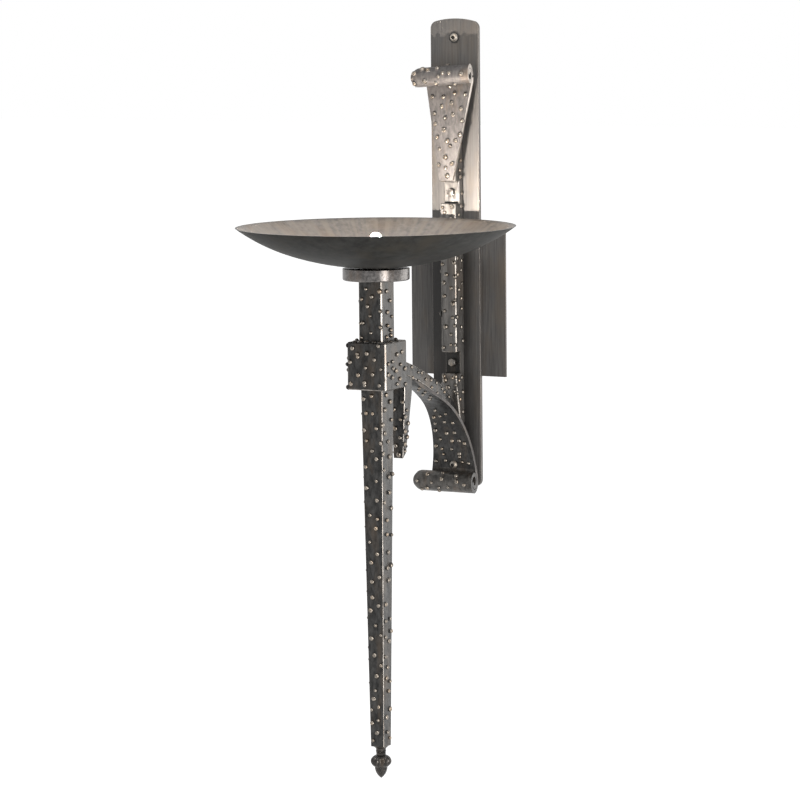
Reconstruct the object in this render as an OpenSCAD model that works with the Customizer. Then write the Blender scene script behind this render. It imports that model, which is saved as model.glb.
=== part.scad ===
// Torch sconce for a wall, built as separate pieces. Millimetres, +Z up.
// The wall is the plane y = 0, the room lies towards -y, and z = 0 is the middle of the wall plate.

/* [Wall plate] */
// width of the flat plate on the wall
plate_w = 127; // [100:1:160]
// height of the flat plate on the wall
plate_h = 178; // [140:1:220]
// thickness of the flat plate on the wall
plate_t = 3; // [2:0.5:5]
// radius of the hole for the house wires
entry_r = 11; // [8:0.5:16]
// width of the slot that leads the wires down behind the strip
slot_w = 9; // [6:0.5:12]

/* [Back strip] */
// width of the long strip
strip_w = 63.5; // [50:0.5:80]
// thickness of the long strip
strip_t = 5; // [3:0.5:8]
// height of the strip's top above the plate's middle
strip_top = 337.5; // [280:0.5:380]
// depth of the strip's bottom below the plate's middle
strip_foot = 225; // [180:0.5:280]
// radius of the arched ends
crown_r = 101; // [80:1:160]
// radius that rounds the strip's corners
corner_r = 9; // [5:0.5:12]

/* [Spine bar] */
// width of the square bar on the strip
spine_w = 20; // [14:0.5:26]
// depth of the square bar
spine_d = 20; // [14:0.5:26]
// height of the bar's top above the plate's middle
spine_top = 200; // [175:1:230]
// depth of the bar's end below the plate's middle
spine_foot = 146; // [130:1:160]
// depth below the plate's middle where the bar starts to thin
spine_thin = 92; // [88:1:110]
// depth of the bar at its lower end
spine_end_d = 10; // [6:0.5:14]
// height of each notch
notch_h = 25.5; // [16:0.5:32]
// depth of each notch
notch_d = 10; // [6:0.5:12]
// height of the upper notch's middle
notch_top = 131.5; // [110:0.5:140]
// depth of the lower notch's middle below the plate's middle
notch_low = 72; // [50:0.5:78]

/* [Straps and scrolls] */
// thickness of both straps
strap_t = 4.5; // [2.5:0.1:6]
// height of the upper strap's lower end
strap_foot = 146; // [144:0.5:160]
// lean of the upper strap towards the wall, in degrees
strap_lean = 4.6; // [3:0.1:9]
// width of the straps' narrow ends
strap_tip_w = 17.2; // [12:0.1:24]
// widening of half the upper strap for each length along it
strap_flare = 0.187; // [0.1:0.001:0.24]
// width of the upper strap where it meets its roll
strap_top_w = 61; // [50:0.5:70]
// radius of the upper roll
roll_top_r = 12.9; // [10:0.1:15]
// radius of the lower roll
roll_low_r = 13.9; // [10:0.1:16]
// gap between the turns of a roll
turn_gap = 0.7; // [0.4:0.1:1.5]
// height of the upper roll's middle
roll_top = 268.1; // [250:0.1:290]
// depth of the lower roll's middle below the plate's middle
roll_low = 213.8; // [205:0.1:240]
// reach of the upper roll's right end from the middle
top_right = 36.5; // [30:0.5:42]
// reach of the upper roll's left end from the middle
top_left = 41.5; // [36:0.5:50]
// reach of the lower roll's right end from the middle
low_right = 35.5; // [30:0.5:42]
// reach of the lower roll's left end from the middle
low_left = 44.5; // [36:0.5:54]
// further reach of a roll's left end at its front than at its back
roll_skew = 5; // [0:0.5:8]
// slope of the upper roll, in degrees
roll_slope = 4.5; // [0:0.5:6]
// gap between the lower strap and the back strip
strap_gap = 5.5; // [1:0.1:8]
// widening of half the lower strap for each length along it
bend_flare = 0.13; // [0.1:0.002:0.2]

/* [Arm] */
// radius of the lower strap's tight bend
bend_r = 105; // [80:1:130]
// depth of the bend's middle below the plate's middle
bend_low = 204; // [190:1:215]
// angle that the tight bend turns through
bend_angle = 62; // [50:1:70]
// radius of the shallow bend that follows
reach_r = 450; // [300:5:700]
// distance from the torch's axis back to the lower strap's tip
tip_gap = 89.6; // [82:0.1:96]
// width of the curved arm
arm_w = 18; // [12:0.5:24]
// thickness of the curved arm
arm_d = 15; // [10:0.5:20]
// wall of the hollow arm
arm_wall = 3; // [2:0.25:4]
// depth of the arm's lower end below the plate's middle
arm_foot = 149; // [146:0.5:155]
// radius of the holes that pass the wires through the arm's ends
wire_r = 4; // [2.5:0.25:5]

/* [Drop bar] */
// distance from the torch's axis back to the drop bar's front
drop_gap = 49; // [40:1:60]
// depth of the drop bar at its top
drop_d = 18; // [12:0.5:22]
// depth of the drop bar at its end
drop_end_d = 8; // [4:0.5:12]
// width of the drop bar at its top
drop_w = 19; // [12:0.5:24]
// width of the drop bar at its end
drop_end_w = 12.5; // [8:0.5:18]
// depth of the drop bar's end below the plate's middle
drop_foot = 172; // [150:1:200]
// rise of the drop bar's slanted end
drop_slant = 7; // [0:0.5:12]
// depth below the plate's middle where the drop bar starts to thin
drop_thin = 95; // [88:1:120]

/* [Collar] */
// distance of the torch's axis from the wall
torch_reach = 206; // [195:1:240]
// width of the square collar
collar_w = 50.8; // [42:0.2:60]
// height of the collar
collar_h = 55.3; // [45:0.1:70]
// depth of the collar's top below the plate's middle
collar_low = 29; // [20:0.5:36]
// wall of the collar's sleeve
collar_wall = 4; // [2.5:0.5:6]
// thickness of the plates that close the collar
cover_t = 4; // [2:0.5:8]

/* [Torch stem] */
// width of the straight neck above the collar
neck_w = 30.5; // [28:0.5:34]
// depth below the plate's middle where the neck meets the tapered stem, inside the collar
neck_low = 44; // [36:0.5:50]
// width of the tapered stem at its top
stem_top_w = 28.7; // [26:0.1:32]
// width of the tapered stem at its foot
stem_foot_w = 17.3; // [14:0.1:24]
// depth of the stem's foot below the plate's middle
stem_foot = 504; // [400:1:560]
// wall of the neck and of the stem
stem_wall = 2.5; // [1.5:0.1:3]
// thickness of the plug in the stem's foot
plug_t = 8; // [4:0.5:14]

/* [Finial] */
// radius of the cup's rim under the stem
cup_r = 8; // [6:0.1:8.6]
// radius of the finial's neck
waist_r = 5.7; // [4.6:0.1:7]
// height of the cup
cup_h = 5; // [3:0.1:8]
// height of the finial's neck
waist_h = 5.6; // [3:0.1:9]
// height of each turned ring on the neck
bead_h = 1.2; // [0.6:0.1:1.6]
// radius of the bulb
bulb_r = 11.4; // [9:0.1:14]
// height of the bulb
bulb_h = 14; // [10:0.1:20]
// depth of a flute in the bulb
flute_d = 1; // [0.4:0.1:1.6]
// radius of the acorn tip
acorn_r = 7.4; // [5:0.1:9]
// height of the acorn tip
acorn_h = 13.6; // [8:0.1:20]
// radius of the finial's stud
stud_r = 2.5; // [1.5:0.1:3.5]
// number of flutes around the bulb
flutes = 16; // [8:1:24]

/* [Dish and seat] */
// radius of the dish's rim
dish_r = 161.7; // [120:0.1:200]
// depth of the dish's outside
dish_depth = 47.6; // [30:0.1:70]
// radius of the sphere that the dish's middle follows
dish_ball = 322; // [240:1:480]
// distance from the axis where the dish starts to turn up more
dish_mid = 100; // [60:1:130]
// thickness of the dish
dish_t = 1.5; // [1:0.1:3]
// height of the dish's lowest point
dish_low = 55.2; // [45:0.1:70]
// radius of the round seat under the dish
seat_r = 38.7; // [25:0.1:50]
// height of the round seat
seat_h = 13.5; // [8:0.5:20]
// radius that rounds the seat's lower edge
seat_round = 2; // [1:0.5:4]
// height of the seat's square spigot inside the stem
spigot_h = 7; // [4:0.5:12]

/* [Lamp holder] */
// radius of the holder's ceramic body
holder_r = 9.6; // [9:0.1:10]
// height of the holder's body below the dish's floor
holder_h = 22; // [18:0.5:26]
// thickness of the holder's ears
ear_t = 2.4; // [1.5:0.1:4]
// distance of each ear screw from the torch's axis
ear_reach = 15.5; // [14:0.5:18]
// radius of each ear
ear_r = 4.6; // [3.6:0.1:6]
// radius of the ear screws
ear_screw_r = 2; // [1.5:0.1:2.5]
// length of the ear screws
ear_screw_l = 11; // [8:0.5:14]
// thickness of the sprung contacts
contact_t = 0.5; // [0.3:0.1:0.8]

/* [Lamp] */
// radius of the glass capsule
glass_r = 6.9; // [6:0.1:8]
// wall of the glass capsule
glass_wall = 0.9; // [0.6:0.1:1.2]
// height of the capsule's tip above the dish's lowest point
glass_top = 41; // [30:0.5:44]
// width of the pinched glass foot
pinch_w = 13.4; // [11:0.1:14]
// thickness of the pinched glass foot
pinch_t = 4; // [3:0.1:5]
// length of the pinched glass foot
pinch_h = 9; // [6:0.5:12]
// depth of the pinched foot in the holder
pinch_in = 4; // [2:0.5:6]
// distance between the lamp's two pins
pin_gap = 9; // [8:0.5:10]
// width of a pin's loop
pin_w = 2.8; // [2:0.1:3.4]
// thickness of a pin's wire
pin_t = 0.8; // [0.6:0.1:1.2]
// length of the pins
pin_l = 11; // [8:0.5:14]
// radius of the coiled filament
coil_r = 0.9; // [0.5:0.1:1.5]
// length of the coiled filament
coil_l = 11; // [6:0.5:16]

/* [Fasteners] */
// radius of the wall screws and of the spine's bolts
screw_r = 3; // [2:0.25:4]
// length of the wall screws beyond the wall's face
wall_l = 30; // [15:1:60]
// radius of the wall screws' round heads
head_r = 5.2; // [4:0.1:7]
// height of the wall screws' round heads
head_h = 3.2; // [2:0.1:5]
// width across the flats of the wall screws' sockets
socket_w = 4; // [3:0.5:5]
// depth of the wall screws' sockets
socket_d = 1.8; // [1:0.1:2.4]
// distance of each wall screw from the strip's end, top
screw_in_top = 22.5; // [14:0.5:40]
// distance of each wall screw from the strip's end, foot
screw_in_foot = 29; // [20:0.5:40]
// radius of the washer under the top screw
washer_r = 6.4; // [5.6:0.1:8]
// thickness of the washer under the top screw
washer_t = 1.2; // [0.8:0.1:2]
// width across the flats of the spine bolts' heads
hex_w = 8.6; // [8:0.1:13]
// height of the spine bolts' heads
hex_h = 4; // [3:0.5:6]

/* [Fits] */
// gap around a shank in its hole
hole_gap = 0.4; // [0.3:0.05:1]
// gap between pieces that sit in one another
seat_gap = 0.3; // [0.2:0.05:0.6]

/* [Hidden] */
$fn = 96;
large_fn = 720;
over = 1;
strip_back = -plate_t;
strip_front = strip_back - strip_t;
spine_front = strip_front - spine_d;
notch_floor = spine_front + notch_d;
thin_slope = (spine_d - spine_end_d) / (spine_foot - spine_thin);
wire_low = spine_foot - wire_r - strip_t;
screw_top_z = strip_top - screw_in_top;
screw_low_z = screw_in_foot - strip_foot;
hole_r = screw_r + hole_gap;

strap_face = strip_front - strap_gap - strap_t;
bend_y = strap_face - bend_r;
bend_z = -bend_low;
reach_y = bend_y - (reach_r - bend_r) * cos(bend_angle);
reach_z = bend_z - (reach_r - bend_r) * sin(bend_angle);
tip_angle = acos((tip_gap - torch_reach - reach_y) / reach_r);
bend_run = (bend_r * bend_angle + reach_r * (tip_angle - bend_angle)) * PI / 180;
half_low = strap_tip_w / 2 + bend_flare * bend_run;
arm_in = strap_t + seat_gap;
arm_mid_r = reach_r + arm_in + arm_d / 2;

torch_y = -torch_reach;
collar_back = torch_y + collar_w / 2;
collar_top = -collar_low;
collar_foot = collar_top - collar_h;
collar_in = collar_w - 2 * collar_wall;
end_angle = 1.05 * acos((collar_back - reach_y) / (reach_r + arm_in));
wire_z = reach_z + sqrt(pow(arm_mid_r, 2) - pow(collar_back - reach_y, 2));

seat_top = dish_low - seat_gap;
neck_top = seat_top - seat_h;
neck_in = neck_w - 2 * stem_wall;
stem_top = -neck_low - seat_gap;
dish_z = dish_low + dish_ball;
dish_top = dish_low + dish_depth;
bore_r = holder_r + seat_gap;
ear_foot = dish_z + seat_gap / 2 - sqrt(pow(dish_ball - dish_t, 2) - pow(ear_reach + ear_r, 2));
holder_foot = ear_foot - holder_h;
holder_top = ear_foot + ear_t;
pinch_foot = holder_top - pinch_in;
pinch_top = pinch_foot + pinch_h;
pin_foot = pinch_foot - pin_l;
pin_slot_t = pin_t + 2 * contact_t + 4 * seat_gap;
glass_z = dish_low + glass_top;
finial_top = -stem_foot;
bulb_top = finial_top - cup_h - waist_h;

mid_angle = asin(dish_mid / dish_ball);
to_rim = [dish_r, dish_depth] - [dish_mid, dish_ball - dish_ball * cos(mid_angle)];
side_r = (to_rim * to_rim) / (2 * to_rim * [-sin(mid_angle), cos(mid_angle)]);

// width of the tapered stem at a height
function stem_w(z) =
    stem_foot_w + (stem_top_w - stem_foot_w) * (z + stem_foot) / (stem_foot - neck_low);

// half the lower strap's width and its height, where it has turned through an angle
function bend_point(a) = a <= bend_angle
    ? [half_low - bend_flare * bend_r * a * PI / 180, bend_z + bend_r * sin(a)]
    : [half_low - bend_flare * (bend_r * bend_angle + reach_r * (a - bend_angle)) * PI / 180,
       reach_z + reach_r * sin(a)];

// Shared shapes

// a side profile, drawn as (y, z), as thick as w about the middle
module across(w) {
    rotate([90, 0, 90]) translate([0, 0, -w / 2]) linear_extrude(w) children();
}

// an outline seen from the room, drawn as (x, z), between two depths
module facing(back, front) {
    translate([0, back, 0]) rotate([90, 0, 0]) linear_extrude(back - front) children();
}

// a round rod or hole along y between two depths
module rod(r, back, front, z) {
    translate([0, back, z]) rotate([90, 0, 0]) cylinder(r = r, h = back - front);
}

// part of a flat ring from angle a to angle b
module arc_band(inner, outer, a, b) {
    far = 2 * outer;
    intersection() {
        difference() {
            circle(outer, $fn = large_fn);
            circle(inner, $fn = large_fn);
        }
        polygon([[0, 0], [far * cos(a), far * sin(a)], [far * cos(b), far * sin(b)]]);
    }
}

// half of a flat ring: the upper half for up = 1, the lower for up = -1
module half_ring(outer, up) {
    intersection() {
        difference() {
            circle(outer);
            circle(outer - strap_t);
        }
        translate([-outer, min(0, up * outer)]) square([2 * outer, outer]);
    }
}

// a rolled strap end of radius r from the side, whose strap comes from below at the back
module roll_profile(r) {
    middle_r = r - (strap_t + turn_gap) / 2;
    half_ring(r, 1);
    translate([middle_r - r, 0]) half_ring(middle_r, -1);
    half_ring(r - strap_t - turn_gap, 1);
}

// a roll about its own axis, as wide as the strap at its back and wider towards its front
module roll(r, back_half, left, right) {
    intersection() {
        across(2 * left) roll_profile(r);
        translate([0, 0, -r - over]) linear_extrude(2 * r + 2 * over)
            polygon([[roll_skew - left, r], [back_half, r], [right, -r], [-left, -r]]);
    }
}

// a four-sided taper about the torch's axis, from height a to b, smaller than the stem by inset a side
module taper(a, b, inset) {
    wa = stem_w(a) / 2 - inset;
    wb = stem_w(b) / 2 - inset;
    intersection() {
        across(stem_top_w)
            polygon([[torch_y - wa, a], [torch_y + wa, a], [torch_y + wb, b], [torch_y - wb, b]]);
        facing(torch_y + stem_top_w, torch_y - stem_top_w)
            polygon([[-wa, a], [wa, a], [wb, b], [-wb, b]]);
    }
}

// a square tube about the torch's axis
module square_tube(w, wall, foot, top) {
    translate([0, torch_y, foot]) linear_extrude(top - foot) difference() {
        square(w, center = true);
        square(w - 2 * wall, center = true);
    }
}

// a round hole along the torch's axis
module torch_bore(r, foot, top) {
    translate([0, torch_y, foot]) cylinder(r = r, h = top - foot);
}

// Wall side

// an arched end of the strip that rises to height 0
module strip_end() {
    side = strip_w / 2;
    corner_x = side - corner_r;
    corner_z = sqrt(pow(crown_r - corner_r, 2) - pow(corner_x, 2)) - crown_r;
    touch_x = corner_x * crown_r / (crown_r - corner_r);
    intersection() {
        translate([0, -crown_r]) circle(crown_r, $fn = large_fn);
        translate([-touch_x, corner_z]) square([2 * touch_x, crown_r]);
    }
    for (s = [-1, 1]) translate([s * corner_x, corner_z]) circle(corner_r);
    translate([-side, -crown_r]) square([strip_w, crown_r + corner_z]);
}

module wall_plate() {
    color("DimGray") facing(0, strip_back) difference() {
        square([plate_w, plate_h], center = true);
        circle(entry_r);
        translate([-slot_w / 2, -plate_h]) square([slot_w, plate_h]);
    }
}

module back_strip() {
    color("Gray") difference() {
        facing(strip_back, strip_front) {
            translate([0, strip_top]) strip_end();
            translate([0, -strip_foot]) mirror([0, 1]) strip_end();
            translate([-strip_w / 2, crown_r / 2 - strip_foot])
                square([strip_w, strip_top + strip_foot - crown_r]);
        }
        for (z = [screw_top_z, screw_low_z, notch_top, -notch_low])
            rod(hole_r, strip_back + over, strip_front - over, z);
        rod(wire_r, strip_back + over, strip_front - over, -wire_low);
    }
}

module spine_bar() {
    head_front = spine_front + (spine_top - strap_foot) * tan(strap_lean);
    color("DarkSlateGray") difference() {
        across(spine_w) polygon([
            [strip_front, -spine_foot],
            [strip_front - spine_end_d, -spine_foot],
            [spine_front, -spine_thin],
            [spine_front, strap_foot],
            [head_front, spine_top],
            [strip_front, spine_top]
        ]);
        for (z = [notch_top, -notch_low]) {
            across(spine_w + over) translate([spine_front - over, z - notch_h / 2])
                square([notch_d + over, notch_h]);
            rod(hole_r, strip_front + over, notch_floor - over, z);
        }
        rod(wire_r, strip_front + over, spine_front, -wire_low);
    }
}

module spine_bolts() {
    color("Silver") for (z = [notch_top, -notch_low]) {
        rod(screw_r, strip_back, notch_floor, z);
        translate([0, notch_floor, z]) rotate([90, 30, 0])
            cylinder(r = hex_w / 2 / cos(30), h = hex_h, $fn = 6);
    }
}

// Straps, arm and drop bar

module upper_scroll() {
    run = (roll_top - strap_foot) / cos(strap_lean);
    half_tip = strap_tip_w / 2;
    half_top = strap_top_w / 2;
    wide_z = strap_foot + (half_top - half_tip) / strap_flare * cos(strap_lean);
    color("DarkSlateGray") {
        intersection() {
            across(strap_top_w) translate([spine_front, strap_foot]) rotate(-strap_lean)
                translate([-strap_t, 0]) square([strap_t, run]);
            facing(strip_front, spine_front - spine_d) polygon([
                [-half_tip, strap_foot - over], [half_tip, strap_foot - over],
                [half_top, wide_z], [half_top, roll_top + over],
                [-half_top, roll_top + over], [-half_top, wide_z]
            ]);
        }
        translate([0, spine_front + run * sin(strap_lean), roll_top]) rotate([-strap_lean, -roll_slope, 0])
            translate([0, -roll_top_r, 0]) roll(roll_top_r, half_top, top_left, top_right);
    }
}

// a side profile that follows both bends, between two offsets from the lower strap's face
module bend_profile(near, away, from, to) {
    translate([bend_y, bend_z]) rotate(bend_angle) {
        arc_band(bend_r + near, bend_r + away, from - bend_angle, 0);
        translate([bend_r - reach_r, 0]) arc_band(reach_r + near, reach_r + away, 0, to - bend_angle);
    }
}

module lower_scroll() {
    steps = 8;
    points = [for (i = [0 : steps]) bend_point(tip_angle * i / steps)];
    half_roll = half_low + bend_flare * (roll_low - bend_low);
    half_tip = strap_tip_w / 2;
    tip_z = points[steps][1] + strap_t;
    color("DarkSlateGray") difference() {
        union() {
            intersection() {
                across(2 * low_left) {
                    bend_profile(0, strap_t, 0, tip_angle);
                    translate([strap_face, -roll_low]) square([strap_t, roll_low - bend_low]);
                }
                facing(strip_front, -torch_reach) polygon(concat(
                    [[half_roll, -roll_low]], points, [[half_tip, tip_z], [-half_tip, tip_z]],
                    [for (i = [steps : -1 : 0]) [-points[i][0], points[i][1]]],
                    [[-half_roll, -roll_low]]
                ));
            }
            translate([0, strap_face + strap_t - roll_low_r, -roll_low]) mirror([0, 0, 1])
                roll(roll_low_r, half_roll, low_left, low_right);
        }
        rod(hole_r, strip_front, strap_face - spine_d, screw_low_z);
    }
}

module strap_spacer() {
    color("Silver") difference() {
        rod(head_r, strip_front, strip_front - strap_gap + seat_gap, screw_low_z);
        rod(hole_r, strip_front + over, strip_front - strap_gap - over, screw_low_z);
    }
}

module arm_bar() {
    color("DarkSlateGray") difference() {
        intersection() {
            across(arm_w) bend_profile(arm_in, arm_in + arm_d, 0, end_angle);
            across(arm_w) polygon([
                [collar_back, -arm_foot],
                [spine_front + thin_slope * (arm_foot - spine_thin), -arm_foot],
                [spine_front, -spine_thin],
                [spine_front, 0],
                [collar_back, 0]
            ]);
        }
        across(arm_w - 2 * arm_wall) difference() {
            bend_profile(arm_in + arm_wall, arm_in + arm_d - arm_wall, 0, end_angle);
            translate([strap_face - arm_d, -arm_foot]) square([spine_d, arm_wall]);
        }
    }
}

module drop_bar() {
    front = torch_y + drop_gap;
    color("DarkSlateGray") intersection() {
        across(drop_w) intersection() {
            polygon([
                [front, 0],
                [front, -drop_foot],
                [front + drop_end_d, drop_slant - drop_foot],
                [front + drop_d, -drop_thin],
                [front + drop_d, 0]
            ]);
            translate([reach_y, reach_z]) circle(reach_r + arm_in - seat_gap, $fn = large_fn);
        }
        facing(front + drop_d + over, front - over) polygon([
            [-drop_w / 2, 0], [drop_w / 2, 0],
            [drop_w / 2, -drop_thin], [drop_end_w / 2, -drop_foot],
            [-drop_end_w / 2, -drop_foot], [-drop_w / 2, -drop_thin]
        ]);
    }
}

// Torch

module collar_sleeve() {
    color("DarkSlateGray") difference() {
        square_tube(collar_w, collar_wall, collar_foot, collar_top);
        rod(wire_r, collar_back + over, collar_back - collar_wall - over, wire_z);
    }
}

module collar_covers() {
    cover_w = collar_in - 2 * seat_gap;
    color("DimGray") {
        square_tube(cover_w, (cover_w - neck_w) / 2 - seat_gap, collar_top - cover_t, collar_top);
        difference() {
            translate([-cover_w / 2, torch_y - cover_w / 2, collar_foot]) cube([cover_w, cover_w, cover_t]);
            taper(collar_foot - over, collar_foot + cover_t + over, -seat_gap);
        }
    }
}

module torch_neck() {
    color("DarkSlateGray") square_tube(neck_w, stem_wall, -neck_low, neck_top);
}

module torch_stem() {
    color("DarkSlateGray") difference() {
        taper(finial_top, stem_top, 0);
        taper(finial_top - over, stem_top + over, stem_wall);
        rod(wire_r, collar_back, torch_y, wire_z);
    }
}

module stem_plug() {
    color("DimGray") difference() {
        taper(finial_top, finial_top + plug_t, stem_wall + seat_gap);
        torch_bore(stud_r + seat_gap, finial_top - over, finial_top + plug_t + over);
    }
}

module finial_cup() {
    steps = 8;
    curve = [for (i = [0 : steps]) let (a = 90 * i / steps)
        [cup_r - (cup_r - waist_r) * sin(a), -bead_h - (cup_h - bead_h) * (1 - cos(a))]];
    beads = [for (i = [0 : 3]) [waist_r + (i % 2 == 0 ? bead_h / 2 : 0), -cup_h - bead_h / 2 * i]];
    color("DimGray") translate([0, torch_y, finial_top]) difference() {
        rotate_extrude() polygon(concat(
            [[0, 0], [cup_r, 0]], curve, beads, [[waist_r, -cup_h - waist_h], [0, -cup_h - waist_h]]
        ));
        translate([0, 0, -cup_h - waist_h - over])
            cylinder(r = stud_r + seat_gap, h = cup_h + waist_h + 2 * over);
    }
}

module finial_bulb() {
    steps = 12;
    low = asin(acorn_r / bulb_r);
    high = asin(waist_r / bulb_r);
    lift = bulb_h / (cos(low) + cos(high));
    bulb = [for (i = [0 : steps]) let (a = high + (180 - low - high) * i / steps)
        [bulb_r * sin(a), lift * (cos(a) - cos(high))]];
    acorn = [for (i = [1 : steps]) let (t = i / steps)
        [acorn_r * pow(1 - pow(t, 2), 0.8), -bulb_h - acorn_h * t]];
    color("DimGray") translate([0, torch_y, bulb_top]) difference() {
        rotate_extrude() polygon(concat([[0, 0]], bulb, acorn));
        for (i = [0 : flutes - 1]) rotate(360 * i / flutes)
            translate([bulb_r + flute_d, 0, -bulb_h]) cylinder(r = 2 * flute_d, h = bulb_h, $fn = 24);
        translate([0, 0, -bulb_h / 2]) cylinder(r = stud_r + seat_gap, h = bulb_h);
    }
}

module finial_stud() {
    foot = bulb_top - bulb_h / 2 + seat_gap;
    color("Silver") translate([0, torch_y, foot]) cylinder(r = stud_r, h = finial_top + plug_t - foot);
}

module dish_seat() {
    spigot_w = neck_in - 2 * seat_gap;
    color("Gray") difference() {
        union() {
            translate([0, torch_y, neck_top]) rotate_extrude() {
                square([seat_r - seat_round, seat_h]);
                translate([0, seat_round]) square([seat_r, seat_h - seat_round]);
                translate([seat_r - seat_round, seat_round]) circle(seat_round);
            }
            translate([-spigot_w / 2, torch_y - spigot_w / 2, neck_top - spigot_h])
                cube([spigot_w, spigot_w, spigot_h + over]);
        }
        torch_bore(bore_r, neck_top - spigot_h - over, seat_top + over);
        for (s = [-1, 1]) translate([s * ear_reach, 0, 0])
            torch_bore(ear_screw_r + seat_gap, neck_top - over, seat_top + over);
    }
}

module dish() {
    color("DimGray") difference() {
        translate([0, torch_y, 0]) rotate_extrude($fn = large_fn) intersection() {
            translate([0, dish_z]) rotate(mid_angle - 90) {
                arc_band(dish_ball - dish_t, dish_ball, -mid_angle, 0);
                translate([dish_ball - side_r, 0]) arc_band(side_r - dish_t, side_r, 0, 90);
            }
            translate([bore_r, dish_low - over]) square([dish_r, dish_top + over - dish_low]);
        }
        for (s = [-1, 1]) translate([s * ear_reach, 0, 0])
            torch_bore(ear_screw_r + seat_gap, dish_low - over, dish_top);
    }
}

// Lamp and its holder

module lamp_holder() {
    recess_w = pinch_w + 2 * seat_gap;
    recess_t = pinch_t + 2 * seat_gap;
    recess_z = pinch_foot - seat_gap;
    slot_w = pin_w + 2 * seat_gap;
    slot_z = pin_foot - seat_gap;
    color("White") difference() {
        union() {
            torch_bore(holder_r, holder_foot, holder_top);
            translate([0, torch_y, ear_foot]) linear_extrude(ear_t) {
                circle(holder_r + ear_t);
                square([2 * ear_reach, 2 * ear_r], center = true);
                for (s = [-1, 1]) translate([s * ear_reach, 0]) circle(ear_r);
            }
        }
        translate([-recess_w / 2, torch_y - recess_t / 2, recess_z])
            cube([recess_w, recess_t, pinch_in + over]);
        for (s = [-1, 1]) {
            translate([s * pin_gap / 2 - slot_w / 2, torch_y - pin_slot_t / 2, slot_z])
                cube([slot_w, pin_slot_t, pin_l + seat_gap]);
            translate([s * ear_reach, 0, 0])
                torch_bore(ear_screw_r + seat_gap, ear_foot - over, holder_top + over);
        }
    }
}

module holder_contacts() {
    color("Goldenrod") for (s = [-1, 1])
        translate([s * pin_gap / 2 - pin_w / 2, torch_y + pin_t / 2 + seat_gap, pin_foot])
            cube([pin_w, contact_t, pin_l - pinch_in]);
}

module holder_screws() {
    color("Silver") for (s = [-1, 1]) translate([s * ear_reach, 0, 0]) {
        torch_bore(ear_screw_r, holder_top - ear_screw_l, holder_top);
        difference() {
            torch_bore(2 * ear_screw_r - seat_gap, holder_top, holder_top + ear_screw_r);
            translate([-2 * ear_screw_r, torch_y - contact_t / 2, holder_top + ear_screw_r / 2])
                cube([4 * ear_screw_r, contact_t, ear_screw_r]);
        }
    }
}

module lamp_glass() {
    inner_r = glass_r - glass_wall;
    ball_z = glass_z - glass_r;
    color("White", 0.5) {
        translate([-pinch_w / 2, torch_y - pinch_t / 2, pinch_foot]) cube([pinch_w, pinch_t, pinch_h]);
        difference() {
            union() {
                torch_bore(glass_r, pinch_top, ball_z);
                translate([0, torch_y, ball_z]) sphere(glass_r);
            }
            torch_bore(inner_r, pinch_top + glass_wall, ball_z);
            translate([0, torch_y, ball_z]) sphere(inner_r);
        }
    }
}

module lamp_filament() {
    coil_foot = pinch_top + glass_wall + seat_gap;
    color("Gold") torch_bore(coil_r, coil_foot, coil_foot + coil_l);
}

module lamp_pins() {
    bend = pin_w / 2;
    color("Silver") for (s = [-1, 1]) translate([s * pin_gap / 2, torch_y + pin_t / 2, pin_foot])
        rotate([90, 0, 0]) linear_extrude(pin_t) difference() {
            union() {
                translate([0, bend]) circle(bend);
                translate([-bend, bend]) square([pin_w, pin_l - bend]);
            }
            translate([0, bend]) circle(bend - pin_t);
            translate([pin_t - bend, bend]) square([pin_w - 2 * pin_t, pin_l - bend - pin_t]);
        }
}

// Fasteners on the wall

// a screw from the room into the wall, whose head rests at depth y and whose thread starts at the wall
module wall_screw(y, z) {
    ball = (pow(head_r, 2) + pow(head_h, 2)) / (2 * head_h);
    rod(screw_r, wall_l, 0, z);
    rod(screw_r - hole_gap, wall_l, y, z);
    translate([0, y, z]) rotate([90, 0, 0]) difference() {
        intersection() {
            translate([0, 0, head_h - ball]) sphere(ball);
            cylinder(r = head_r, h = head_h);
        }
        translate([0, 0, head_h - socket_d])
            cylinder(r = socket_w / 2 / cos(30), h = socket_d + over, $fn = 6);
    }
}

module wall_screws() {
    low_y = bend_y + sqrt(pow(bend_r, 2) - pow(screw_low_z + head_r - bend_z, 2));
    color("Silver") {
        wall_screw(strip_front - washer_t, screw_top_z);
        wall_screw(low_y, screw_low_z);
    }
}

module screw_washer() {
    color("Black") difference() {
        rod(washer_r, strip_front, strip_front - washer_t, screw_top_z);
        rod(hole_r, strip_front + over, strip_front - washer_t - over, screw_top_z);
    }
}

wall_plate();
back_strip();
spine_bar();
spine_bolts();
upper_scroll();
lower_scroll();
strap_spacer();
arm_bar();
drop_bar();
collar_sleeve();
collar_covers();
torch_neck();
torch_stem();
stem_plug();
finial_cup();
finial_bulb();
finial_stud();
dish_seat();
dish();
lamp_holder();
holder_contacts();
holder_screws();
lamp_glass();
lamp_filament();
lamp_pins();
wall_screws();
screw_washer();
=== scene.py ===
import math
import random

import bpy
from mathutils import Matrix, Vector
from mathutils.bvhtree import BVHTree


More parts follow.
